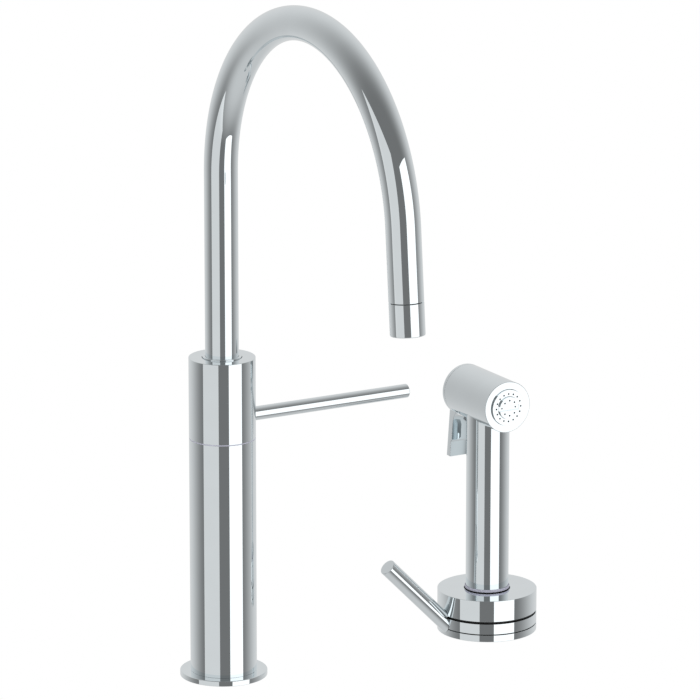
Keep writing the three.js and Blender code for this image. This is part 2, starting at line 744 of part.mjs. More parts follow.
function trigger() {
  const saddle = alongY(rod(HEAD_R + 0.45, 10, 45, 2 * FINE)).translate(0, 0, HEAD_Z);
  const half = TRIGGER_ARM_HALF_W;
  const inner = 2.6;
  const yokeTop = TRIGGER_PIVOT_Z + 14;
  const [front, back] = [TRIGGER_PIVOT_Y - 3.3, TRIGGER_PIVOT_Y - 0.5];
  const barrel = alongX(rod(3.2, -half, half)).translate(0, TRIGGER_PIVOT_Y, TRIGGER_PIVOT_Z);
  const body = join(
    cut(triggerPlate(), saddle),
    barrel,
    box(-half, half, TRIGGER_PIVOT_Y - 2.5, TRIGGER_PIVOT_Y + 3.2, 160, TRIGGER_PIVOT_Z),
    box(-half, -inner, front, back, TRIGGER_PIVOT_Z - 1, yokeTop),
    box(inner, half, front, back, TRIGGER_PIVOT_Z - 1, yokeTop),
  );
  const pinHole = alongX(rod(1.9, -half - 1, half + 1, TINY));
  return cut(body, pinHole.translate(0, TRIGGER_PIVOT_Y, TRIGGER_PIVOT_Z));
}

function spray() {
  const group = new THREE.Group();
  group.position.x = SPRAY_X;
  const stopPin = rod(1.5, 2.7, 8.3, TINY).translate(STOP_PIN_AT, 0, 0);
  group.add(
    piece("spray_base_ring", "chrome", sprayBaseRing()),
    piece("spray_gasket", "rubber", ring(26.3, 29.7, 0, SEAL_H, FINE)),
    piece("spray_shank", "brass", sprayShank()),
    ...deckClamp("spray", 14),
    piece("spray_core", "brass", sprayCore()),
    piece("ring_stop_pin", "steel", stopPin),
    piece("spray_seal_ring", "blackPlastic", ring(34.9, 37.7, RING_Z1 + GAP, COVER_Z0 - GAP, FINE)),
    piece("fixed_valve_disc", "ceramic", valveDisc(17.5, 19.7)),
    piece("spray_top_cover", "chrome", sprayTopCover()),
    piece("control_ring", "chrome", controlRing()),
    piece("turning_valve_disc", "ceramic", valveDisc(14.7, 17.2)),
    piece("control_lever", "chrome", controlLever()),
    piece("guide_bush", "palePlastic", guideBush()),
    piece("handset_tube", "chrome", handsetTube()),
    piece("handset_end_plug", "brass", handsetEndPlug()),
    piece("check_valve", "greyPlastic", ring(2, 5.6, 8, 22, TINY)),
    piece("handset_waterway", "greyPlastic", ring(3.5, 5.5, 26.4, 172, TINY)),
    head(),
    piece("trigger", "chrome", trigger()),
  );
  return group;
}

const faucet = new THREE.Group();
faucet.add(mixer(), spray());

export default faucet;
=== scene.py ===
# The looks of a kitchen faucet set: a gooseneck mixer, and a side hand spray in its own deck base.
# Every visible CAD node is replaced by a finely turned, swept or bevelled piece in the same place.
import json
from math import asin, cos, pi, radians, sin, tan

import bmesh
import bpy
from mathutils import Matrix, Vector

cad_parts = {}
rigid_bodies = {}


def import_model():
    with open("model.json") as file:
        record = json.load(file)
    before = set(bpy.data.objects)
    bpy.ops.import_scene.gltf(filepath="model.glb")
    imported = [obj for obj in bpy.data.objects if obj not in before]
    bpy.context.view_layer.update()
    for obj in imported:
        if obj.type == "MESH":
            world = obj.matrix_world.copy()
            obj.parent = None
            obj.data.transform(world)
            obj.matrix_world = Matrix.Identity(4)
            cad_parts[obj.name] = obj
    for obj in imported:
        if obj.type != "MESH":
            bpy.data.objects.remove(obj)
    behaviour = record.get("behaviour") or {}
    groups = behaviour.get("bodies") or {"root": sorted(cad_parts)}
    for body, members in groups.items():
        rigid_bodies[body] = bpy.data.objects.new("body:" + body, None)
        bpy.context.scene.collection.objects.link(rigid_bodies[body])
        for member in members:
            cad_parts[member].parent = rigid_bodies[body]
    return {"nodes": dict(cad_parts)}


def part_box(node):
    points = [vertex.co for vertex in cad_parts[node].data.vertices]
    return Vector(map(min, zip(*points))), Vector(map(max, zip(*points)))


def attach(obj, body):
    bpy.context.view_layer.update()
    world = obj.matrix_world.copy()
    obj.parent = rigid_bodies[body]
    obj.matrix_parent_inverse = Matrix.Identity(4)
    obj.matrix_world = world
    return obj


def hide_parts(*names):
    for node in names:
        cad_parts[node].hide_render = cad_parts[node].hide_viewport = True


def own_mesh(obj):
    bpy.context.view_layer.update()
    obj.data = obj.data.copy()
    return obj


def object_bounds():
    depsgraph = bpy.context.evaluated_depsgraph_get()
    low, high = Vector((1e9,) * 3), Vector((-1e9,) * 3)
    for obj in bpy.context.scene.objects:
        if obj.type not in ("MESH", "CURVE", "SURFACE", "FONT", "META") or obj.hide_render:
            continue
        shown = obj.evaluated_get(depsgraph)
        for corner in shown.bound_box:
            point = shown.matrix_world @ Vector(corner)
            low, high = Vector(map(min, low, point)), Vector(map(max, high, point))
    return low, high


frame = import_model()
cad_low, cad_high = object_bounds()

MM = 0.001  # pieces are drawn in millimetres, the frame is in metres
FULL_TURN = 2 * pi
SEGMENTS = 144  # facets round a large turned piece
FEW_SEGMENTS = 64  # facets round a small one


# ---------------------------------------------------------------- where the CAD says things are
def limits(node):
    """Lowest and highest corner of a CAD node, in millimetres."""
    low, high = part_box(node)
    return low / MM, high / MM


def bottom(node):
    return limits(node)[0].z


def top(node):
    return limits(node)[1].z


def radius(node):
    low, high = limits(node)
    return (high.x - low.x) / 2


def centre(node):
    low, high = limits(node)
    return (low + high) / 2


SPRAY_X = centre("spray_base_ring").x
HEAD_Z = centre("rear_cap").z
LEVER_Z = centre("lever_rod").z
AT_MIXER = Matrix.Identity(4)
AT_SPRAY = Matrix.Translation((SPRAY_X, 0, 0))
ALONG_X = Matrix.Rotation(pi / 2, 4, "Y")  # a piece's own +Z becomes +X
AT_LEVER = Matrix.Translation((0, 0, LEVER_Z)) @ ALONG_X
# The head is drawn with the spray's direction as +Z and the sky as +Y.
AT_HEAD = Matrix.Translation((SPRAY_X, 0, HEAD_Z)) @ Matrix.Rotation(pi / 2, 4, "X")


# ---------------------------------------------------------------- mesh tools
def add_piece(name, mesh, sharp_deg=32):
    """Makes an object of a bmesh drawn in millimetres, with smooth faces and crisp edges."""
    bmesh.ops.remove_doubles(mesh, verts=mesh.verts, dist=1e-4)
    bmesh.ops.recalc_face_normals(mesh, faces=mesh.faces)
    mesh.transform(Matrix.Scale(MM, 4))
    data = bpy.data.meshes.new(name)
    mesh.to_mesh(data)
    mesh.free()
    data.shade_smooth()
    data.set_sharp_from_angle(angle=radians(sharp_deg))
    piece = bpy.data.objects.new(name, data)
    bpy.context.scene.collection.objects.link(piece)
    return piece


def even_out(piece):
    """Lets flat and large faces set the shading, so that narrow bevels don't bend reflections."""
    modifier = piece.modifiers.new("even shading", "WEIGHTED_NORMAL")
    modifier.keep_sharp = True
    modifier.weight = 50
    return piece


def bridge(mesh, lower, upper):
    """Joins two rows of vertices round an axis. A row of one vertex is a pole."""
    count = max(len(lower), len(upper))
    for i in range(count):
        j = (i + 1) % count
        corners = [
            lower[i % len(lower)], lower[j % len(lower)],
            upper[j % len(upper)], upper[i % len(upper)],
        ]
        unique = list(dict.fromkeys(corners))
        if len(unique) > 2:
            mesh.faces.new(unique)


def straight(height):
    return Matrix.Translation((0, 0, height))


def turned_mesh(profile, at=AT_MIXER, segments=SEGMENTS, closed=True, place=straight):
    """Revolves (radius, height) points. place(height) is the frame of the axis at that height."""
    mesh = bmesh.new()
    angles = [FULL_TURN * i / segments for i in range(segments)]
    rows = []
    for r, height in profile:
        here = at @ place(height)
        spots = angles if r else angles[:1]
        rows.append([mesh.verts.new(here @ Vector((r * cos(a), r * sin(a), 0))) for a in spots])
    for lower, upper in zip(rows, rows[1:]):
        bridge(mesh, lower, upper)
    if closed:
        bridge(mesh, rows[-1], rows[0])
    return mesh


def rounded(corners, steps=5):
    """Turns (radius, height, fillet) corners into points, with an arc where there is a fillet."""
    points = []
    for i, (r, z, *fillet) in enumerate(corners):
        if not fillet:
            points.append((r, z))
            continue
        here = Vector((r, z))
        before = (Vector(corners[i - 1][:2]) - here).normalized()
        after = (Vector(corners[(i + 1) % len(corners)][:2]) - here).normalized()
        between = before.angle(after)
        middle = here + (before + after).normalized() * fillet[0] / sin(between / 2)
        arm = here + before * fillet[0] / tan(between / 2) - middle
        turn = (pi - between) * (1 if before.cross(after) < 0 else -1)
        for k in range(steps + 1):
            spoke = Matrix.Rotation(turn * k / steps, 2) @ arm
            points.append(tuple(middle + spoke))
    return points


def turned(name, corners, at=AT_MIXER, segments=SEGMENTS, closed=True):
    return even_out(add_piece(name, turned_mesh(rounded(corners), at, segments, closed)))


def circle(x, y, r, count=32, start=0.0):
    return [(x + r * cos(start + FULL_TURN * i / count), y + r * sin(start + FULL_TURN * i / count))
            for i in range(count)]


PLATE_SHARP_DEG = 12  # makes each bevel's edges crisp, so that the flat faces mirror as flat


def plate_mesh(outlines, z0, z1, bevel, at=AT_MIXER):
    """A flat plate with bevelled rims. The first outline is its edge and the others are holes."""
    curve = bpy.data.curves.new("outline", "CURVE")
    curve.dimensions = "2D"
    curve.fill_mode = "BOTH"
    curve.extrude = (z1 - z0) / 2 - bevel
    curve.bevel_depth = bevel
    curve.bevel_resolution = 2
    curve.offset = -bevel
    for outline in outlines:
        spline = curve.splines.new("POLY")
        spline.points.add(len(outline) - 1)
        for point, (x, y) in zip(spline.points, outline):
            point.co = (x, y, 0, 1)
        spline.use_cyclic_u = True
    draft = bpy.data.objects.new("outline", curve)
    bpy.context.scene.collection.objects.link(draft)
    mesh = bmesh.new()
    bpy.context.view_layer.update()
    mesh.from_mesh(draft.evaluated_get(bpy.context.evaluated_depsgraph_get()).to_mesh())
    bpy.data.objects.remove(draft)
    bpy.data.curves.remove(curve)
    mesh.transform(at @ Matrix.Translation((0, 0, (z0 + z1) / 2)))
    return mesh


def plate(name, outlines, z0, z1, bevel, at=AT_MIXER):
    return even_out(add_piece(name, plate_mesh(outlines, z0, z1, bevel, at), PLATE_SHARP_DEG))


def carve(piece, cutter_mesh, operation="DIFFERENCE"):
    """Cuts a bmesh out of a piece, for good. It comes before the shading is evened out."""
    cutter = add_piece("cutter", cutter_mesh)
    modifier = piece.modifiers.new("carve", "BOOLEAN")
    modifier.operation = operation
    modifier.solver = "EXACT"
    modifier.object = cutter
    piece.modifiers.move(len(piece.modifiers) - 1, 0)
    with bpy.context.temp_override(object=piece, active_object=piece):
        bpy.ops.object.modifier_apply(modifier=modifier.name)
    bpy.data.objects.remove(cutter)
    piece.data.shade_smooth()
    piece.data.set_sharp_from_angle(angle=radians(32))
    return piece


def capsule(half_width, length, count=24):
    """A slot's outline: two half circles, one at the origin and one at (0, length)."""
    arc = [pi * i / count for i in range(count + 1)]
    upper = [(half_width * cos(a), length + half_width * sin(a)) for a in arc]
    lower = [(-half_width * cos(a), -half_width * sin(a)) for a in arc]
    return upper + lower


def joined(*meshes):
    """Several bmeshes as one."""
    whole = bmesh.new()
    for mesh in meshes:
        data = bpy.data.meshes.new("part")
        mesh.to_mesh(data)
        mesh.free()
        whole.from_mesh(data)
        bpy.data.meshes.remove(data)
    return whole


def settle(piece, body, finish, *nodes):
    """Gives a piece its finish and the CAD body it moves with, and hides the nodes it stands for."""
    piece.data.materials.append(materials[finish])
    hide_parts(*nodes)
    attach(piece, body)
    return piece


def line_with(piece, finish, inside):
    """Gives the faces whose middle passes inside(spot) a second finish. The spot is in millimetres."""
    piece.data.materials.append(materials[finish])
    for face in piece.data.polygons:
        if inside(face.center / MM):
            face.material_index = 1


# ---------------------------------------------------------------- camera and studio
CAMERA_AZIMUTH = radians(-29.88)
CAMERA_PITCH = radians(14.67)
CAMERA_PLACE = (-1.9695, -3.6189, 1.3304)
CAMERA_LENS = 294.6


def make_camera():
    data = bpy.data.cameras.new("camera")
    data.sensor_width = 36
    data.lens = CAMERA_LENS
    data.clip_end = 100
    camera = bpy.data.objects.new("camera", data)
    bpy.context.scene.collection.objects.link(camera)
    camera.location = CAMERA_PLACE
    camera.rotation_euler = (pi / 2 - CAMERA_PITCH, 0, CAMERA_AZIMUTH)
    bpy.context.scene.camera = camera


make_camera()


# ---------------------------------------------------------------- mixer
BODY_R = radius("mixer_sleeve")
TUBE_R = radius("spout_tube")
LEVER_R = (limits("lever_rod")[1].z - limits("lever_rod")[0].z) / 2
LEVER_LIFT = radians(20)
SEAM_FILL = 0.15  # how much of the seam's clearance the finely turned edges take up


def base_flange():
    edge = radius("base_flange")
    height = bottom("lower_body_tube") - 0.02
    hole, spigot = 18, BODY_R - 3.4
    profile = [
        (hole, 0), (25.5, 0), (25.5, 1.6), (29.5, 1.6), (29.5, 0), (edge, 0, 0.3),
        (edge, height - 0.28, 0.7), (spigot, height - 0.28), (spigot, 14), (hole, 14),
    ]
    settle(turned("base_flange_turned", profile), "fixed_set", "chrome", "base_flange")


def lower_body():
    low, high, inner = bottom("lower_body_tube") - 0.26, top("lower_body_tube") + SEAM_FILL, BODY_R - 3
    profile = [(inner, low), (BODY_R, low, 0.12), (BODY_R, high, 0.12), (inner, high)]
    settle(turned("lower_body_turned", profile), "fixed_set", "chrome", "lower_body_tube")


def glide_ring():
    low, high, outer = bottom("glide_ring") - 0.1, top("glide_ring") + 0.1, BODY_R - 0.04
    profile = [(22.4, low), (outer, low, 0.08), (outer, high, 0.08), (22.4, high)]
    settle(turned("glide_ring_moulded", profile), "fixed_set", "pale_plastic", "glide_ring")


def mixer_sleeve():
    low, high, inner = bottom("mixer_sleeve") - SEAM_FILL, top("mixer_sleeve"), BODY_R - 3
    hole, roof = radius("spout_collar") + 0.3, 243.9
    profile = [
        (inner, low), (BODY_R, low, 0.12), (BODY_R, high, 0.45), (hole, high, 0.15), (hole, roof),
        (inner, roof),
    ]
    mesh = turned_mesh(rounded(profile), segments=2 * SEGMENTS)
    sleeve = add_piece("mixer_sleeve_turned", mesh)
    half = LEVER_R + 0.4
    rise = (BODY_R + 1 - centre("lever_pivot_pin").x) * tan(LEVER_LIFT) + 0.4
    slot = capsule(half, rise)
    # the slot's outline is drawn across the lever, with its own +Y up the body
    across = Matrix.Rotation(pi / 2, 4, "Z") @ Matrix.Rotation(pi / 2, 4, "X")
    across = Matrix.Translation((0, 0, LEVER_Z)) @ across
    carve(sleeve, plate_mesh([slot], BODY_R - 8, BODY_R + 3, 0.01, across))
    settle(even_out(sleeve), "turning_sleeve", "chrome", "mixer_sleeve")


def lever_rod():
    low, high = limits("lever_rod")
    profile = [
        (0, 27), (2.85, 27), (2.85, low.x), (LEVER_R, low.x, 0.3), (LEVER_R, high.x, 0.45), (0, high.x),
    ]
    rod = turned("lever_rod_turned", profile, AT_LEVER, FEW_SEGMENTS * 2, False)
    settle(rod, "lever", "chrome", "lever_rod")


# The spout's line: a riser, a bend of 175 degrees and a short straight end leg.
BEND_R = 133.1
BEND = radians(175)
LEG_TOP = 388
SPOUT_START = bottom("spout_tube")
RISE = LEG_TOP - SPOUT_START
TUBE_LENGTH = RISE + BEND_R * BEND + 51.35
AERATOR_LENGTH = 24.1


def spout_frame(along):
    """The frame of the spout's line at a distance along it, with the water's direction as +Z."""
    angle = min(max((along - RISE) / BEND_R, 0), BEND)
    beyond = along - RISE if along < RISE else max(0, along - RISE - BEND_R * BEND)
    spot = Vector((0, -BEND_R * (1 - cos(angle)), LEG_TOP + BEND_R * sin(angle)))
    turn = Matrix.Rotation(angle, 4, "X")
    return Matrix.Translation(spot + turn @ Vector((0, 0, beyond))) @ turn


def along_the_bend(r, start, end, step=1.25):
    """Points of a straight wall that follows the bend in short steps."""
    first, last = RISE, RISE + BEND_R * BEND
    count = int((last - first) / step)
    stops = [start, *(first + (last - first) * i / count for i in range(count + 1)), end]
    return [(r, stop) for stop in stops]


def spout_tube():
    inner = TUBE_R - 1.5
    outside = rounded([(inner, 0), (TUBE_R, 0, 0.2), (TUBE_R, TUBE_LENGTH, 0.3), (inner, TUBE_LENGTH)])
    split = next(i for i, (_, height) in enumerate(outside) if height > 1)
    walls = outside[:split] + along_the_bend(TUBE_R, 1, TUBE_LENGTH - 1)[1:-1] + outside[split:]
    walls += along_the_bend(inner, 1, TUBE_LENGTH - 1)[-2:0:-1]
    mesh = turned_mesh(walls, place=spout_frame)
    settle(even_out(add_piece("spout_tube_bent", mesh)), "spout", "chrome", "spout_tube")


def spout_collar():
    low, high = bottom("spout_collar"), top("spout_collar")
    edge, inner = radius("spout_collar"), TUBE_R + 0.12
    profile = [(inner, low), (edge, low), (edge, high, 0.35), (inner, high, 0.2)]
    settle(turned("spout_collar_turned", profile), "spout", "chrome", "spout_collar")


def aerator():
    at = spout_frame(TUBE_LENGTH)
    low, high, inner, lip = 0.5, AERATOR_LENGTH, 11, 9.9
    profile = [
        (inner, low), (TUBE_R, low, 0.3), (TUBE_R, high, 0.8), (lip, high, 0.4), (lip, high - 1.5),
        (inner, high - 1.5),
    ]
    settle(turned("aerator_sleeve_turned", profile, at), "spout", "chrome", "aerator_sleeve")
    wires = []
    reach, spacing, half = 8.5, 1.0, 0.16
    for turn in (0, pi / 2):
        count = int(reach / spacing)
        for i in range(-count, count + 1):
            length = (reach ** 2 - (i * spacing) ** 2) ** 0.5
            lie = at @ Matrix.Translation((0, 0, 20.5 + turn * 0.25)) @ Matrix.Rotation(turn, 4, "Z")
            lie = lie @ Matrix.Translation((0, i * spacing, 0)) @ ALONG_X
            profile = [(0, -length), (half, -length), (half, length), (0, length)]
            wires.append(turned_mesh(profile, lie, 6, False))
    settle(add_piece("aerator_mesh", joined(*wires)), "spout", "steel", "aerator_screen")


# ---------------------------------------------------------------- deck mounting
THREAD_PITCH = 1.5


def threaded_shank(name, node, outer, collar, bore, at):
    """A hollow shank with a single-start thread below its collar."""
    low, high = bottom(node), top(node)
    neck = -2 if node == "mounting_shank" else 0
    depth, rows_per_pitch, count = 0.62, 8, 72
    spokes = [Vector((cos(FULL_TURN * i / count), sin(FULL_TURN * i / count), 0)) for i in range(count)]
    mesh = bmesh.new()
    rows = int((neck - low) / THREAD_PITCH * rows_per_pitch)
    grid = []
    for row in range(rows + 1):
        z = low + (neck - low) * row / rows
        fade = min(1, (z - low) / 1.2)
        line = []
        for i, spoke in enumerate(spokes):
            phase = ((z - low) / THREAD_PITCH - i / count) % 1
            groove = min(1, max(0, 1.6 * abs(2 * phase - 1) - 0.3))
            r = outer - depth * (1 - groove * fade)
            line.append(mesh.verts.new(at @ (spoke * r + Vector((0, 0, z)))))
        grid.append(line)
    for lower, upper in zip(grid, grid[1:]):
        bridge(mesh, lower, upper)
    rest = [
        (outer, neck + 0.4), (outer, collar[1]), (collar[0], collar[1]), (collar[0], high), (bore, high),
        (bore, low),
    ]
    previous = grid[-1]
    for r, z in rest:
        line = [mesh.verts.new(at @ (spoke * r + Vector((0, 0, z)))) for spoke in spokes]
        bridge(mesh, previous, line)
        previous = line
    bridge(mesh, previous, grid[0])
    settle(add_piece(name, mesh), "fixed_set", "brass", node)


def hexagon(across_corners):
    return circle(0, 0, across_corners / 2, 6)


def chamfered_nut(name, node, hole, at):
    """A hexagon with its corners turned off at 30 degrees on both faces."""
    low, high = limits(node)
    z0, z1 = low.z, high.z
    half = radius(node)
    nut = add_piece(name, plate_mesh([hexagon(2 * half), circle(0, 0, hole, 64)], z0, z1, 0.15, at))
    drop = half * (1 - cos(radians(30))) * tan(radians(30))
    flat, outside = half * cos(radians(30)), half + 0.3
    cone = rounded([
        (0, z0), (flat, z0), (outside, z0 + drop), (outside, z1 - drop), (flat, z1), (0, z1),
    ])
    carve(nut, turned_mesh(cone, at, FEW_SEGMENTS * 2, False), "INTERSECT")
    settle(even_out(nut), "fixed_set", "brass", node)


def deck_clamp(prefix, shank_r, at):
    hole = shank_r + 0.3
    washers = [(f"{prefix}_rubber_washer", "rubber", 0.6), (f"{prefix}_clamp_washer", "steel", 0.25)]
    for node, finish, fillet in washers:
        z0, z1, edge = bottom(node), top(node), radius(node)
        inside = fillet / 2
        profile = [(hole, z0, inside), (edge, z0, fillet), (edge, z1, fillet), (hole, z1, inside)]
        settle(turned(f"{node}_turned", profile, at), "fixed_set", finish, node)
    chamfered_nut(f"{prefix}_nut_cut", f"{prefix}_nut", hole, at)


def supply_tails():
    """The two copper tails with their union nuts, below the mixer's shank."""
    for side in ("hot", "cold"):
        tube, fitting = f"inlet_tube_{side}", f"inlet_fitting_{side}"
        at = Matrix.Translation((0, centre(tube).y, 0))
        outer = radius(tube)
        low, high = bottom(tube), top(tube)
        profile = [(outer - 1, low, 0.2), (outer, low, 0.3), (outer, high, 0.3), (outer - 1, high, 0.2)]
        settle(turned(f"{tube}_drawn", profile, at, FEW_SEGMENTS), "fixed_set", "copper", tube)
        base, nut_low, nut_high, bore = bottom(fitting), -76, top(fitting), outer + 0.1
        outlines = [hexagon(2 * radius(fitting)), circle(0, 0, bore, 48)]
        mesh = joined(
            plate_mesh(outlines, nut_low, nut_high, 0.5, at),
            turned_mesh(rounded([
                (bore, base), (6.2, base, 0.5), (6.2, nut_low + 1), (bore, nut_low + 1),
            ]), at, 64),
        )
        settle(even_out(add_piece(f"{fitting}_cut", mesh)), "fixed_set", "brass", fitting)


# ---------------------------------------------------------------- spray base
BASE_R = radius("spray_base_ring")


def spray_base_ring():
    high, seat = top("spray_base_ring"), 19.3
    profile = [
        (14.6, 0), (26, 0), (26, 1.6), (30, 1.6), (30, 0), (BASE_R, 0, 0.3), (BASE_R, high, 0.18),
        (seat, high), (seat, 2.4), (14.6, 2.4),
    ]
    settle(turned("spray_base_turned", profile, AT_SPRAY), "fixed_set", "chrome", "spray_base_ring")


LOWER_SEAM = 0.45  # opens the joint under the control ring, so that it shows as a dark line
SEAL_SEAM = 0.15  # shows a little more of the black seal, from above and below


def control_ring():
    low, high = bottom("control_ring") + LOWER_SEAM, top("control_ring") - SEAL_SEAM
    inner = 28.95
    profile = [(inner, low), (BASE_R, low, 0.15), (BASE_R, high, 0.15), (inner, high)]
    settle(turned("control_ring_turned", profile, AT_SPRAY), "spray_control", "chrome", "control_ring")


def seal_ring():
    low, high, outer = bottom("spray_seal_ring"), top("spray_seal_ring"), radius("spray_seal_ring")
    profile = [(34.9, low), (outer, low, 0.5), (outer, high, 0.5), (34.9, high)]
    seal = turned("spray_seal_moulded", profile, AT_SPRAY)
    settle(seal, "fixed_set", "black_plastic", "spray_seal_ring")


BUSH_R = radius("guide_bush")
HANDLE_R = radius("handset_tube")


def top_cover():
    low, high = bottom("spray_top_cover") + SEAL_SEAM, top("spray_top_cover")
    inner, roof = 35, 29.4
    hole = BUSH_R + 0.45
    profile = [
        (inner, low), (BASE_R, low, 0.15), (BASE_R, high, 0.3), (hole, high, 0.2),
        (hole, roof), (inner, roof),
    ]
    settle(turned("spray_cover_turned", profile, AT_SPRAY), "fixed_set", "chrome", "spray_top_cover")


def guide_bush():
    """The dock's lining: a soft rolled lip round the handset, above a neck at the cover painted black as
    the shade under the lip.
    """
    low, bore, cover = bottom("guide_bush"), HANDLE_R + 0.12, top("spray_top_cover")
    neck_r, lip, high = BUSH_R - 0.3, cover + 0.65, cover + 2.5
    profile = [
        (13, low), (neck_r, low, 0.3), (neck_r, cover - 1), (neck_r, lip), (BUSH_R, lip, 0.15),
        (BUSH_R, high, 0.5),
        (bore, high, 0.1), (bore, low + 2), (13, low + 2),
    ]
    bush = turned("guide_bush_moulded", profile, AT_SPRAY)
    settle(bush, "dock_bush", "pale_plastic", "guide_bush")
    # painted shade: the neck between the cover and the lip gets the black finish for the shadow in the
    # gap under the lip
    line_with(bush, "black_plastic", lambda spot: cover - 1 < spot.z < lip + 0.01)


def control_lever():
    """The inclined bar of the control ring, its root shaped to the ring's outside."""
    tilt = radians(45.1)
    bar_r, length = 6.44, 72
    at = AT_SPRAY @ Matrix.Translation((-BASE_R, 0, 11.1)) @ Matrix.Rotation(-(pi / 2 - tilt), 4, "Y")
    profile = rounded([(0, -12), (bar_r, -12), (bar_r, length, 0.4), (0, length)])
    bar = add_piece("control_lever_turned", turned_mesh(profile, at, FEW_SEGMENTS * 2, False))
    hollow = [(0, -20), (BASE_R + 0.2, -20), (BASE_R + 0.2, 60), (0, 60)]
    carve(bar, turned_mesh(hollow, AT_SPRAY, 4 * SEGMENTS, False))
    stud = turned_mesh([(0, -4), (2.55, -4), (2.55, 8), (0, 8)], at, 32, False)
    carve(bar, stud, "UNION")
    settle(even_out(bar), "spray_control", "chrome", "control_lever")


# ---------------------------------------------------------------- hand spray
HEAD_R = radius("rear_cap")
FACE_HOLE = 14.2


def handset_tube():
    low, inner = bottom("handset_tube"), HANDLE_R - 2.2
    high = HEAD_Z - 4
    tube = add_piece("handset_tube_turned", turned_mesh(rounded([
        (inner, low), (HANDLE_R, low, 0.6), (HANDLE_R, high), (inner, high),
    ]), AT_SPRAY))
    saddle_r = HEAD_R - 0.1
    saddle = [(0, -30), (saddle_r, -30), (saddle_r, 30), (0, 30)]
    carve(tube, turned_mesh(saddle, AT_HEAD, 2 * SEGMENTS, False))
    settle(even_out(tube), "handset", "chrome", "handset_tube")


def spray_head():
    front, wall = -limits("spray_head")[0].y, 2.27
    rear = 3.75 - limits("rear_cap")[1].y
    inner, hole = HEAD_R - wall, FACE_HOLE
    shell = add_piece("spray_head_turned", turned_mesh(rounded([
        (inner, rear), (HEAD_R, rear, 0.12), (HEAD_R, front, 0.45), (hole, front, 0.12),
        (hole, front - 2.4), (inner, front - 2.4),
    ]), AT_HEAD, 2 * SEGMENTS))
    half = 5
    slot = Matrix.Translation((SPRAY_X, 23.4, HEAD_Z))
    opening = plate_mesh([rectangle(-half, half, -4.5, 4.6)], -HEAD_R - 2, -HEAD_R / 2, 0.01, slot)
    carve(shell, opening)
    settle(even_out(shell), "handset", "chrome", "spray_head")


def rectangle(x0, x1, y0, y1):
    return [(x0, y0), (x1, y0), (x1, y1), (x0, y1)]


def rear_cap():
    face = -limits("rear_cap")[1].y
    profile = [(0, face), (HEAD_R, face, 1.2), (HEAD_R, face + 3.6, 0.1), (0, face + 3.6)]
    cap = turned("rear_cap_turned", profile, AT_HEAD, 2 * SEGMENTS, False)
    settle(cap, "handset", "chrome", "rear_cap")


PLATE_R = FACE_HOLE - 0.15
CENTRE_R = 8.75
JET_R = 0.62
SLOT_HALF = 1.85
PLATE_JETS, PLATE_JET_RING = 16, 10.8  # how many jets, and how far from the middle
NOZZLE_JETS, NOZZLE_JET_RING = 8, 5.95


def paint_shade_in_jets(piece, spots):
    """Paints the jets' bores black: painted shade in the holes."""
    to_head = AT_HEAD.inverted()

    def in_a_jet(spot):
        here = to_head @ spot
        return any((here.x - x) ** 2 + (here.y - y) ** 2 < (JET_R + 0.05) ** 2 for x, y in spots)

    line_with(piece, "black_plastic", in_a_jet)


def spray_plate():
    face = -limits("spray_plate")[0].y
    back = face - 3.9
    spots = circle(0, 0, PLATE_JET_RING, PLATE_JETS)
    holes = [circle(x, y, JET_R, 20) for x, y in spots]
    outlines = [circle(0, 0, PLATE_R, SEGMENTS), circle(0, 0, CENTRE_R + 0.12, SEGMENTS), *holes]
    disc = plate("spray_plate_cut", outlines, back, face, 0.1, AT_HEAD)
    settle(disc, "handset", "chrome", "spray_plate")
    # painted shade: the jets' bores in the plate are turned black
    paint_shade_in_jets(disc, spots)


def centre_nozzle():
    """The raised nozzle in the middle: a disc, with two half moons that leave a slot between them."""
    face = -limits("centre_nozzle")[0].y
    floor = -limits("spray_plate")[0].y
    spots = circle(0, 0, NOZZLE_JET_RING, NOZZLE_JETS)
    holes = [circle(x, y, JET_R, 20) for x, y in spots]
    parts = [plate_mesh([circle(0, 0, CENTRE_R, SEGMENTS), *holes], floor - 3.9, floor, 0.02, AT_HEAD)]
    start = asin(SLOT_HALF / CENTRE_R)
    for side in (1, -1):
        arc = [start + (pi - 2 * start) * i / 72 for i in range(73)]
        moon = [(side * CENTRE_R * cos(a), side * CENTRE_R * sin(a)) for a in arc]
        holes = [circle(x, y, JET_R, 20) for x, y in spots if side * y > SLOT_HALF]
        parts.append(plate_mesh([moon, *holes], floor - 0.05, face, 0.1, AT_HEAD))
    nozzle = even_out(add_piece("centre_nozzle_cut", joined(*parts), PLATE_SHARP_DEG))
    settle(nozzle, "handset", "chrome", "centre_nozzle")
    # painted shade: the jets' bores in the nozzle are turned black
    paint_shade_in_jets(nozzle, spots)


def trigger():
    """The lever behind the handle: a bent plate with eased edges, its top cut to the head's curve."""
    low, high = limits("trigger")
    base, rear, half = low.z, high.y, (high.x - low.x) / 2
    inner = [(22.7, 169.5), (25.6, 165.2), (27.35, 160.2), (28.6, 152.6), (29.3, 145), (30.6, 143.6)]
    outline = [(rear - 5.2, base), (rear, base), (rear - 4.4, 169.5), *smooth_curve(inner[:5]), inner[5]]
    # drawn with +X to the rear and +Y up, and pushed out sideways
    side = Matrix(((0, 0, 1, SPRAY_X), (1, 0, 0, 0), (0, 1, 0, 0), (0, 0, 0, 1)))
    blade = add_piece("trigger_blade", plate_mesh([outline], -half, half, 0.35, side))
    saddle_r = HEAD_R + 0.45
    saddle = [(0, -45), (saddle_r, -45), (saddle_r, -10), (0, -10)]
    carve(blade, turned_mesh(saddle, AT_HEAD, 2 * SEGMENTS, False))
    settle(even_out(blade), "trigger", "chrome", "trigger")
    trigger_yoke()


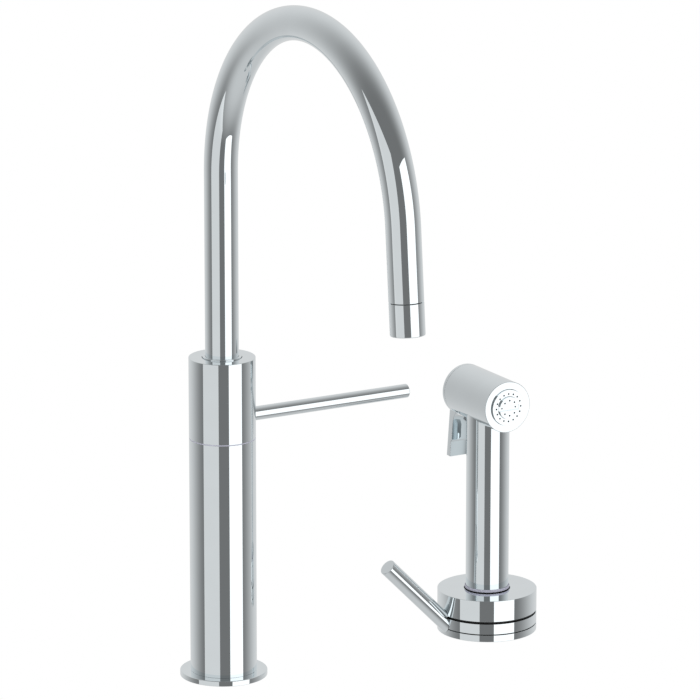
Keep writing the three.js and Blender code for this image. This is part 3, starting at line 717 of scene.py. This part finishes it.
def smooth_curve(points, steps=8):
    """A Catmull-Rom curve through the points."""
    padded = [points[0], *points, points[-1]]
    made = []
    for a, b, c, d in zip(padded, padded[1:], padded[2:], padded[3:]):
        for k in range(steps):
            t = k / steps
            made.append(tuple(
                0.5 * (
                    2 * q + (r - p) * t
                    + (2 * p - 5 * q + 4 * r - s) * t ** 2
                    + (3 * q - p - 3 * r + s) * t ** 3
                )
                for p, q, r, s in zip(a, b, c, d)
            ))
    return [*made, points[-1]]


def trigger_yoke():
    """The trigger's pivot barrel and the fork that pulls the plunger, inside the head's slot."""
    pivot = Matrix.Translation((SPRAY_X, 23.5, 170.8))
    width, gap = 4.6, 2.6
    parts = [turned_mesh(rounded([(1.9, -width), (3.2, -width, 0.3), (3.2, width, 0.3), (1.9, width)]),
                         pivot @ ALONG_X, 48)]
    for side in (1, -1):
        x0, x1 = sorted((side * gap, side * width))
        parts.append(plate_mesh([rectangle(x0, x1, -3.3, -0.5)], 0.5, 14, 0.2, pivot))
    parts.append(plate_mesh([rectangle(-width, width, 2, 3.2)], -10.8, -1.5, 0.2, pivot))
    settle(even_out(add_piece("trigger_yoke", joined(*parts))), "trigger", "steel")


def plunger_spring():
    """The coil that pushes the plunger shut, drawn at rest from its fixed rear end; the trigger would
    shorten it towards that end.
    """
    low, high = limits("plunger_spring")
    wire_r, turns, steps, plunger_travel = 0.45, 7, 24, 2.7
    coil_r = (high.x - low.x) / 2 - wire_r
    fixed_end = high.y - wire_r
    length = fixed_end - low.y - wire_r
    along = Vector((0, 1, 0))
    section = circle(0, 0, wire_r, 12)
    mesh = bmesh.new()
    rows = []
    for i in range(turns * steps + 1):
        angle = FULL_TURN * i / steps
        out = Vector((cos(angle), 0, sin(angle)))
        middle = Vector((SPRAY_X, fixed_end - length * i / (turns * steps), HEAD_Z)) + out * coil_r
        rows.append([mesh.verts.new(middle + out * x + along * y) for x, y in section])
    for lower, upper in zip(rows, rows[1:]):
        bridge(mesh, lower, upper)
    mesh.faces.new(rows[0])
    mesh.faces.new(rows[-1])
    spring = settle(add_piece("plunger_spring_wound", mesh), "handset", "steel", "plunger_spring")
    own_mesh(spring)




# ---------------------------------------------------------------- material tools
def node(tree, kind, inputs=None, **settings):
    """Adds a shader node. An input is a value, or another node's output socket."""
    made = tree.nodes.new(kind)
    for key, value in settings.items():
        setattr(made, key, value)
    for key, value in (inputs or {}).items():
        if isinstance(value, bpy.types.NodeSocket):
            tree.links.new(value, made.inputs[key])
        else:
            made.inputs[key].default_value = value
    return made


def grey(value):
    return (value, value, value, 1)


def ramp(tree, factor, stops):
    """A colour ramp from (position, colour) stops."""
    made = node(tree, "ShaderNodeValToRGB", {"Fac": factor})
    while len(made.color_ramp.elements) < len(stops):
        made.color_ramp.elements.new(0.5)
    for element, (position, colour) in zip(made.color_ramp.elements, stops):
        element.position = position
        element.color = colour
    return made.outputs["Color"]


def noise(tree, scale, detail=3, stretch=(1, 1, 1), roughness=0.5):
    """Noise in the object's own metres, drawn out along an axis by a small stretch."""
    place = node(tree, "ShaderNodeTexCoord").outputs["Object"]
    scaled = node(tree, "ShaderNodeMapping", {"Vector": place, "Scale": stretch}).outputs["Vector"]
    return node(tree, "ShaderNodeTexNoise", {
        "Vector": scaled, "Scale": scale, "Detail": detail, "Roughness": roughness,
    }).outputs["Fac"]


def spread(tree, value, low, high, from_low=0.3, from_high=0.7):
    """Maps the middle of a noise to a range."""
    return node(tree, "ShaderNodeMapRange", {
        "Value": value, "From Min": from_low, "From Max": from_high, "To Min": low, "To Max": high,
    }).outputs["Result"]


def surface(name, metallic, **sockets):
    """A material with one Principled shader. Returns it with its tree and shader."""
    material = bpy.data.materials.new(name)
    material.use_nodes = True
    tree = material.node_tree
    shader = tree.nodes["Principled BSDF"]
    shader.inputs["Metallic"].default_value = metallic
    for key, value in sockets.items():
        shader.inputs[key.replace("_", " ")].default_value = value
    return material, tree, shader


def relief(tree, shader, height, distance, strength=1.0):
    bump = node(tree, "ShaderNodeBump", {"Height": height, "Distance": distance, "Strength": strength})
    tree.links.new(bump.outputs["Normal"], shader.inputs["Normal"])


def drive(tree, shader, **links):
    for key, socket in links.items():
        tree.links.new(socket, shader.inputs[key.replace("_", " ")])


# ---------------------------------------------------------------- materials
def chrome():
    """Mirror plate: a cold white metal, with faint clouds of polish in its gloss."""
    material, tree, shader = surface("chrome", 1)
    clouds = noise(tree, 60, 4)
    tone = ramp(tree, clouds, [(0.3, (0.842, 0.893, 0.915, 1)), (0.7, (0.858, 0.912, 0.935, 1))])
    haze = noise(tree, 420, 5, roughness=0.65)
    drive(tree, shader, Base_Color=tone, Roughness=spread(tree, haze, 0.008, 0.02))
    relief(tree, shader, noise(tree, 900, 2), 0.00001, 0.02)
    return material


def brass():
    """Machined brass: fine turning lines and a slightly uneven tarnish."""
    material, tree, shader = surface("brass", 1)
    tarnish = noise(tree, 90, 5)
    tone = ramp(tree, tarnish, [
        (0.3, (0.50, 0.30, 0.10, 1)), (0.55, (0.66, 0.43, 0.16, 1)), (0.75, (0.74, 0.52, 0.22, 1)),
    ])
    lines = noise(tree, 45, 3, (1, 1, 120))
    drive(tree, shader, Base_Color=tone, Roughness=spread(tree, lines, 0.22, 0.42))
    relief(tree, shader, lines, 0.00004, 0.5)
    return material


def steel():
    """Turned stainless steel, with fine circular lines."""
    material, tree, shader = surface("steel", 1)
    lines = noise(tree, 60, 4, (1, 1, 90))
    tone = ramp(tree, noise(tree, 150, 4), [(0.3, (0.46, 0.47, 0.48, 1)), (0.7, (0.60, 0.61, 0.62, 1))])
    drive(tree, shader, Base_Color=tone, Roughness=spread(tree, lines, 0.2, 0.38))
    relief(tree, shader, lines, 0.00003, 0.4)
    return material


def copper():
    """Drawn copper tube: lengthwise die lines and darker oxide clouds."""
    material, tree, shader = surface("copper", 1)
    oxide = noise(tree, 70, 6, (1, 1, 0.35))
    tone = ramp(tree, oxide, [
        (0.3, (0.36, 0.13, 0.06, 1)), (0.55, (0.62, 0.27, 0.14, 1)), (0.75, (0.76, 0.37, 0.21, 1)),
    ])
    lines = noise(tree, 900, 2, (1, 1, 0.02))
    drive(tree, shader, Base_Color=tone, Roughness=spread(tree, lines, 0.2, 0.4))
    relief(tree, shader, lines, 0.00003, 0.4)
    return material


def rubber():
    """Moulded seal rubber: near black, matt, with a fine grain and a dusty bloom."""
    material, tree, shader = surface("rubber", 0, Specular_IOR_Level=0.35)
    bloom = noise(tree, 120, 5)
    tone = ramp(tree, bloom, [(0.35, (0.006, 0.006, 0.007, 1)), (0.75, (0.022, 0.022, 0.023, 1))])
    drive(tree, shader, Base_Color=tone, Roughness=spread(tree, bloom, 0.6, 0.85))
    relief(tree, shader, noise(tree, 2600, 2), 0.00006, 0.5)
    return material


def moulded(name, dark, light, gloss_low, gloss_high, grain=0.5, **sockets):
    """Injection-moulded plastic: a faint flow pattern in its colour and a spark-eroded grain."""
    material, tree, shader = surface(name, 0, **sockets)
    flow = noise(tree, 85, 4, (1, 1, 0.4))
    tone = ramp(tree, flow, [(0.3, dark), (0.7, light)])
    gloss = spread(tree, noise(tree, 300, 3), gloss_low, gloss_high)
    drive(tree, shader, Base_Color=tone, Roughness=gloss)
    relief(tree, shader, noise(tree, 3200, 2), 0.00003, grain)
    return material


def ceramic():
    """Lapped alumina: warm white, with a fine matt sheen."""
    material, tree, shader = surface("ceramic", 0, Coat_Weight=0.25, Coat_Roughness=0.12)
    grain = noise(tree, 1400, 4)
    tone = ramp(tree, grain, [(0.3, (0.70, 0.68, 0.62, 1)), (0.7, (0.84, 0.82, 0.77, 1))])
    drive(tree, shader, Base_Color=tone, Roughness=spread(tree, grain, 0.16, 0.3))
    relief(tree, shader, grain, 0.00001, 0.3)
    return material


materials = {
    "chrome": chrome(),
    "brass": brass(),
    "steel": steel(),
    "copper": copper(),
    "rubber": rubber(),
    # the black finish of the seal ring, also used as painted shade in the jets' bores and under the
    # bush's lip
    "black_plastic": moulded("black plastic and painted shade", grey(0.001), grey(0.003), 0.4, 0.6),
    "pale_plastic": moulded(
        "pale plastic", (0.47, 0.47, 0.57, 1), (0.51, 0.51, 0.61, 1), 0.22, 0.34, grain=0.03,
    ),
    "grey_plastic": moulded("grey plastic", (0.22, 0.23, 0.24, 1), (0.30, 0.31, 0.32, 1), 0.38, 0.55),
    "ceramic": ceramic(),
}


# ---------------------------------------------------------------- studio
# The usual two-light set for a small object: equal softboxes at 45 degrees either side of the camera
# and level with the object, the fill at half the key's strength, a pale backdrop behind the object
# and a dim room behind the camera.
SOFTBOX_WIDTH = 1.2
SOFTBOX_HEIGHT = 1.8
SOFTBOX_DISTANCE = 1.2  # as far away as it is wide, for soft light
SOFTBOX_ANGLE = radians(45)
KEY_LIGHT = 1.05
FILL_LIGHT = KEY_LIGHT / 2
BACKDROP_LIGHT = 0.7
ROOM_LIGHT = 0.18  # the middle grey of photography
GROUND_LIGHT = 0.6
SOFT_LIGHT = 0.8  # the even light that matt surfaces get from all round
FLOOR_SIZE = 20
FLOOR_GAP = 0.0002  # keeps the floor clear of the undersides that rest on it


def towards(angle):
    """The level direction from the object, at an angle to the right of the camera."""
    return Vector((sin(CAMERA_AZIMUTH + angle), -cos(CAMERA_AZIMUTH + angle), 0))


def softbox(name, angle, strength):
    """A rectangular panel light that faces the middle of the object."""
    data = bpy.data.lights.new(name, "AREA")
    data.shape = "RECTANGLE"
    data.size = SOFTBOX_WIDTH
    data.size_y = SOFTBOX_HEIGHT
    data.energy = strength * pi * SOFTBOX_WIDTH * SOFTBOX_HEIGHT
    light = bpy.data.objects.new(name, data)
    bpy.context.scene.collection.objects.link(light)
    middle = (cad_low + cad_high) / 2
    light.location = middle + towards(angle) * SOFTBOX_DISTANCE
    light.rotation_euler = towards(angle).to_track_quat("Z", "Y").to_euler()
    light.visible_camera = False


def mixed(tree, share, first, second):
    """Blends two colours. Each is a colour or another node's output socket."""
    blend = node(tree, "ShaderNodeMix", {"Factor": share, "A": first, "B": second}, data_type="RGBA")
    return blend.outputs["Result"]


def mirrored_surroundings(tree):
    """What plated surfaces mirror: backdrop behind, dim room in front, pale ground below."""
    direction = node(tree, "ShaderNodeTexCoord").outputs["Generated"]
    behind = node(tree, "ShaderNodeVectorMath", {0: direction, 1: -towards(0)}, operation="DOT_PRODUCT")
    share = node(tree, "ShaderNodeMapRange", {
        "Value": behind.outputs["Value"],
        "From Min": -0.5, "From Max": 1, "To Min": 0, "To Max": 1,
    }, interpolation_type="SMOOTHSTEP").outputs["Result"]
    wall = mixed(tree, share, grey(ROOM_LIGHT), grey(BACKDROP_LIGHT))
    height = node(tree, "ShaderNodeSeparateXYZ", {"Vector": direction}).outputs["Z"]
    ground = node(tree, "ShaderNodeMapRange", {
        "Value": height,
        "From Min": -0.5, "From Max": -1, "To Min": 0, "To Max": 1,
    }, interpolation_type="SMOOTHSTEP").outputs["Result"]
    return mixed(tree, ground, wall, grey(GROUND_LIGHT))


def make_world():
    """The camera sees plain white, mirror rays the surroundings, everything else soft light."""
    world = bpy.data.worlds.new("studio")
    world.use_nodes = True
    tree = world.node_tree
    tree.nodes.clear()
    path = node(tree, "ShaderNodeLightPath")
    lit = mixed(tree, path.outputs["Is Glossy Ray"], grey(SOFT_LIGHT), mirrored_surroundings(tree))
    seen = mixed(tree, path.outputs["Is Camera Ray"], lit, grey(1))
    background = node(tree, "ShaderNodeBackground", {"Color": seen})
    output = node(tree, "ShaderNodeOutputWorld")
    tree.links.new(background.outputs["Background"], output.inputs["Surface"])
    bpy.context.scene.world = world
    bpy.context.scene.view_settings.view_transform = "Standard"


def make_floor():
    """White paper that only the camera sees, so that the plating mirrors the set and not the table."""
    mesh = bmesh.new()
    bmesh.ops.create_grid(mesh, x_segments=1, y_segments=1, size=FLOOR_SIZE / MM)
    floor = add_piece("floor", mesh)
    floor.location.z = -FLOOR_GAP
    material = bpy.data.materials.new("paper")
    material.use_nodes = True
    tree = material.node_tree
    tree.nodes.clear()
    paper = node(tree, "ShaderNodeEmission", {"Color": grey(1)})
    output = node(tree, "ShaderNodeOutputMaterial")
    tree.links.new(paper.outputs["Emission"], output.inputs["Surface"])
    floor.data.materials.append(material)
    floor.visible_glossy = False
    floor.visible_diffuse = False
    floor.visible_shadow = False


make_world()
make_floor()
softbox("key_light", SOFTBOX_ANGLE, KEY_LIGHT)
softbox("fill_light", -SOFTBOX_ANGLE, FILL_LIGHT)


# ---------------------------------------------------------------- building everything
base_flange()
lower_body()
glide_ring()
mixer_sleeve()
lever_rod()
spout_tube()
spout_collar()
aerator()
deck_clamp("deck", 16, AT_MIXER)
deck_clamp("spray", 14, AT_SPRAY)
threaded_shank("mounting_shank_cut", "mounting_shank", 16, (BODY_R - 3.4, 14.4), 13, AT_MIXER)
threaded_shank("spray_shank_cut", "spray_shank", 14, (19, 2.7), 11, AT_SPRAY)
supply_tails()
spray_base_ring()
control_ring()
seal_ring()
top_cover()
guide_bush()
control_lever()
handset_tube()
spray_head()
rear_cap()
spray_plate()
centre_nozzle()
plunger_spring()
trigger()


def dress_remaining_nodes():
    """The CAD nodes that stay get the full material of their slot."""
    for cad in frame["nodes"].values():
        if cad.hide_render:
            continue
        slot = cad.material_slots[0].material.name.split(".")[0]
        cad.material_slots[0].material = materials[slot]


def keep_undersides_out_of_mirrors():
    """A deck would hide what hangs below it from the plating above."""
    for piece in bpy.data.objects:
        if piece.type != "MESH":
            continue
        lowest = min((piece.matrix_world @ vertex.co).z for vertex in piece.data.vertices)
        if lowest < -MM:
            piece.visible_glossy = False


dress_remaining_nodes()
keep_undersides_out_of_mirrors()
